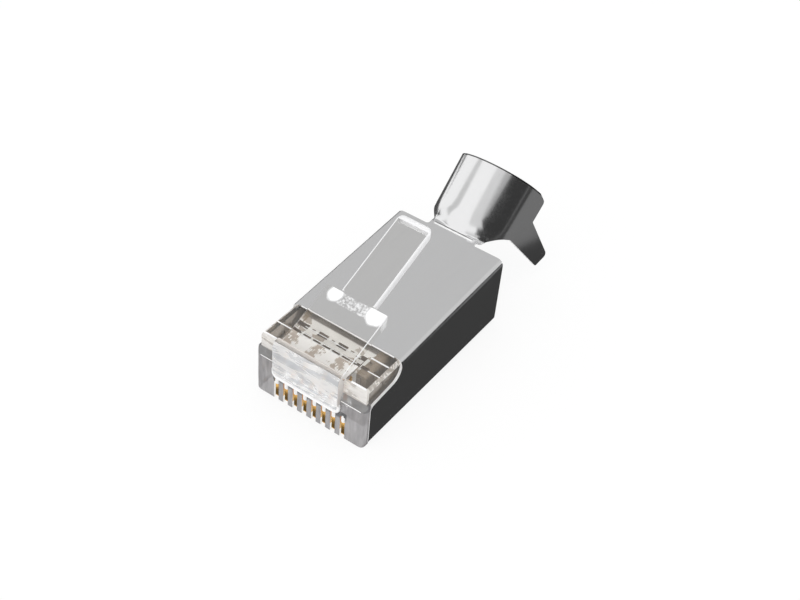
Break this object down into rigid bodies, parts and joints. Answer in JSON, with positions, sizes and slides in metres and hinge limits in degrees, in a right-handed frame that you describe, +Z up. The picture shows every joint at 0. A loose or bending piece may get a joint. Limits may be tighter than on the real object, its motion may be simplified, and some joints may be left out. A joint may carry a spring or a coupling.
{
  "type": "shielded modular network plug",
  "caption": "Shielded modular network plug with clear nose, locking latch, gold contact blades and an open crimp collar for a thick cable.",
  "frame": {"origin": "below the middle of the whole plug, in the plane of its contact side", "axes": "+X across the plug, +Y from the mating nose towards the cable, +Z up from the contact side to the latch"},
  "size_m": [0.0116, 0.0326, 0.0128],
  "materials": {
    "plated_sheet": "satin tin or nickel plate on folded sheet",
    "clear_plastic": "clear moulded polycarbonate",
    "guide_plastic": "clear moulded polycarbonate, slightly warm",
    "gold_contact": "gold plated, bright"
  },
  "bodies": {
    "plug": {"shield": "plated_sheet", "housing": "clear_plastic", "wire_guide": "guide_plastic", "contact_1": "gold_contact", "contact_2": "gold_contact", "contact_3": "gold_contact", "contact_4": "gold_contact", "contact_5": "gold_contact", "contact_6": "gold_contact", "contact_7": "gold_contact", "contact_8": "gold_contact"},
    "latch": {"latch": "clear_plastic"}
  },
  "joints": [
    {"name": "latch_flex", "type": "hinge", "parent": "plug", "child": "latch", "pos_m": [0, -0.01544, 0.00671], "axis": [1, 0, 0], "range_deg": [-15, 0], "stiffness_Nm_per_rad": 0.05}
  ]
}
